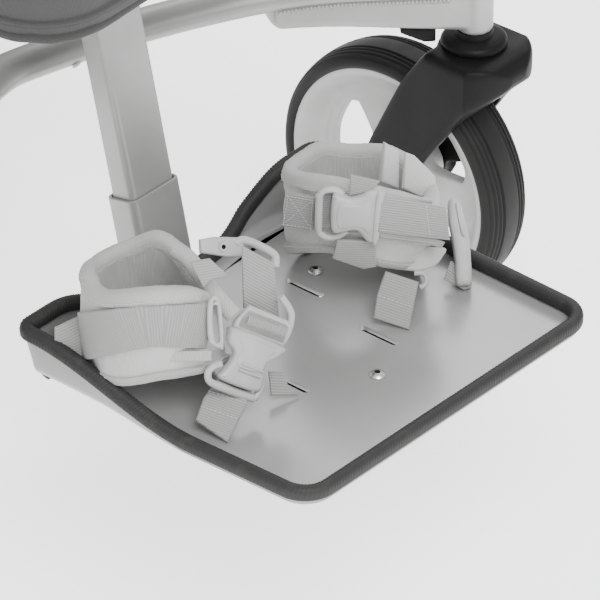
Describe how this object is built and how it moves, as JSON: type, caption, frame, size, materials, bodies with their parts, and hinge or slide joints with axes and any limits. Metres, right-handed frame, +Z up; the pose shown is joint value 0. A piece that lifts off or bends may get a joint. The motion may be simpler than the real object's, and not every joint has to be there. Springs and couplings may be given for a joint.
{
  "type": "special needs stroller",
  "caption": "Wheeled mobility stroller with a tilting padded seat, reclining back, folding push handle, swivelling casters, adjustable leg rest and a footplate with padded ankle cuffs.",
  "frame": {"origin": "middle of the footprint, on the floor", "axes": "+Z up, -Y the front where the child faces, +X the child's left"},
  "size_m": [0.651, 0.959, 1.0142],
  "materials": {
    "silver_paint": "satin silver-grey paint",
    "plate_grey": "smooth, softly glossy grey",
    "dark_plastic": "satin dark grey moulded plastic",
    "steel": "bright plated steel",
    "tyre_rubber": "matt black rubber with tread grooves",
    "rim_plastic": "satin light grey moulded plastic",
    "grip_foam": "matt black foam",
    "trim_rubber": "matt black ribbed edge trim",
    "dark_fabric": "dark grey woven cover with piped seams",
    "pale_fabric": "light grey padded fabric with twill binding",
    "webbing": "grey ribbed webbing",
    "pale_plastic": "light grey moulded plastic"
  },
  "bodies": {
    "chassis": {"front_bow": "silver_paint", "caster_head_r": "silver_paint", "caster_head_l": "silver_paint", "side_frame_r": "silver_paint", "side_frame_l": "silver_paint", "hub_r": "dark_plastic", "hub_l": "dark_plastic", "tilt_tube": "silver_paint", "rear_axle": "silver_paint"},
    "caster_r": {"fork_r": "dark_plastic", "caster_cap_r": "dark_plastic", "front_axle_r": "steel"},
    "caster_l": {"fork_l": "dark_plastic", "caster_cap_l": "dark_plastic", "front_axle_l": "steel"},
    "front_wheel_r": {"front_tyre_r": "tyre_rubber", "front_rim_r": "rim_plastic"},
    "front_wheel_l": {"front_tyre_l": "tyre_rubber", "front_rim_l": "rim_plastic"},
    "lock_r": {"swivel_lock_r": "dark_plastic"},
    "lock_l": {"swivel_lock_l": "dark_plastic"},
    "rear_wheel_r": {"rear_tyre_r": "tyre_rubber", "rear_rim_r": "rim_plastic"},
    "rear_wheel_l": {"rear_tyre_l": "tyre_rubber", "rear_rim_l": "rim_plastic"},
    "brake": {"brake_pedal": "dark_plastic"},
    "handle": {"handle_arm_r": "silver_paint", "handle_arm_l": "silver_paint"},
    "push_bar": {"handle_bar": "silver_paint", "handle_grip": "grip_foam"},
    "button_r": {"fold_button_r": "dark_plastic"},
    "button_l": {"fold_button_l": "dark_plastic"},
    "seat": {"seat_frame": "silver_paint", "seat_board": "dark_plastic", "seat_pad": "dark_fabric", "lap_belt": "webbing", "belt_buckle": "dark_plastic", "hanger_bracket": "silver_paint", "hanger_pin": "steel"},
    "backrest": {"back_frame": "silver_paint", "back_pad": "dark_fabric", "head_pad": "dark_fabric", "shoulder_harness": "webbing"},
    "leg_hanger": {"hanger_tube": "silver_paint"},
    "leg_sleeve": {"hanger_sleeve": "silver_paint"},
    "clamp": {"clamp_knob": "dark_plastic"},
    "footplate": {"foot_plate": "plate_grey", "plate_trim": "trim_rubber", "plate_bracket": "dark_plastic", "ankle_pin": "steel", "ankle_cuff_r": "pale_fabric", "ankle_cuff_l": "pale_fabric", "cuff_strap_r": "webbing", "cuff_strap_l": "webbing", "front_clip_r": "pale_plastic", "front_clip_l": "pale_plastic", "side_clip_r": "pale_plastic", "side_clip_l": "pale_plastic", "strap_tail_r": "webbing", "strap_tail_l": "webbing"}
  },
  "joints": [
    {"name": "caster_swivel_r", "type": "hinge", "parent": "chassis", "child": "caster_r", "pos_m": [-0.2905, -0.25717, 0.25], "axis": [0, 0, 1], "continuous": true},
    {"name": "front_wheel_spin_r", "type": "hinge", "parent": "caster_r", "child": "front_wheel_r", "pos_m": [-0.2905, -0.19817, 0.097], "axis": [1, 0, 0], "continuous": true},
    {"name": "rear_wheel_spin_r", "type": "hinge", "parent": "chassis", "child": "rear_wheel_r", "pos_m": [-0.29, 0.32322, 0.15], "axis": [1, 0, 0], "continuous": true},
    {"name": "swivel_lock_lever_r", "type": "hinge", "parent": "chassis", "child": "lock_r", "pos_m": [-0.25444, -0.22111, 0.24045], "axis": [0.7071, -0.7071, 0], "range_deg": [0, 8]},
    {"name": "fold_button_press_r", "type": "slide", "parent": "handle", "child": "button_r", "axis": [1, 0, 0], "range_m": [0, 0.005], "stiffness_N_per_m": 400, "springref_m": -0.002},
    {"name": "caster_swivel_l", "type": "hinge", "parent": "chassis", "child": "caster_l", "pos_m": [0.2905, -0.25717, 0.25], "axis": [0, 0, 1], "continuous": true},
    {"name": "front_wheel_spin_l", "type": "hinge", "parent": "caster_l", "child": "front_wheel_l", "pos_m": [0.2905, -0.19817, 0.097], "axis": [1, 0, 0], "continuous": true},
    {"name": "rear_wheel_spin_l", "type": "hinge", "parent": "chassis", "child": "rear_wheel_l", "pos_m": [0.29, 0.32322, 0.15], "axis": [1, 0, 0], "continuous": true},
    {"name": "swivel_lock_lever_l", "type": "hinge", "parent": "chassis", "child": "lock_l", "pos_m": [0.25444, -0.22111, 0.24045], "axis": [0.7071, 0.7071, 0], "range_deg": [0, 8]},
    {"name": "fold_button_press_l", "type": "slide", "parent": "handle", "child": "button_l", "axis": [-1, 0, 0], "range_m": [0, 0.005], "stiffness_N_per_m": 400, "springref_m": -0.002},
    {"name": "brake_pedal_press", "type": "hinge", "parent": "chassis", "child": "brake", "pos_m": [0, 0.32322, 0.15], "axis": [-1, 0, 0], "range_deg": [0, 20]},
    {"name": "handle_fold", "type": "hinge", "parent": "chassis", "child": "handle", "pos_m": [0, 0.06322, 0.547], "axis": [-1, 0, 0], "range_deg": [-150, 0]},
    {"name": "handle_angle", "type": "hinge", "parent": "handle", "child": "push_bar", "pos_m": [0, 0.34871, 0.86855], "axis": [1, 0, 0], "range_deg": [-50, 40]},
    {"name": "seat_tilt", "type": "hinge", "parent": "chassis", "child": "seat", "pos_m": [0, -0.09878, 0.37699], "axis": [-1, 0, 0], "range_deg": [0, 25]},
    {"name": "backrest_recline", "type": "hinge", "parent": "seat", "child": "backrest", "pos_m": [0, 0.04022, 0.429], "axis": [-1, 0, 0], "range_deg": [0, 40]},
    {"name": "legrest_angle", "type": "hinge", "parent": "seat", "child": "leg_hanger", "pos_m": [0, -0.18278, 0.397], "axis": [-1, 0, 0], "range_deg": [0, 60]},
    {"name": "footrest_slide", "type": "slide", "parent": "leg_hanger", "child": "leg_sleeve", "axis": [0, -0.2079, -0.9781], "range_m": [-0.06, 0.055]},
    {"name": "clamp_knob_turn", "type": "hinge", "parent": "leg_sleeve", "child": "clamp", "pos_m": [0, -0.23464, 0.153], "axis": [0, 0.9781, -0.2079], "range_deg": [0, 360]},
    {"name": "footplate_angle", "type": "hinge", "parent": "leg_sleeve", "child": "footplate", "pos_m": [0, -0.25978, 0.155], "axis": [1, 0, 0], "range_deg": [-7, 20]}
  ]
}
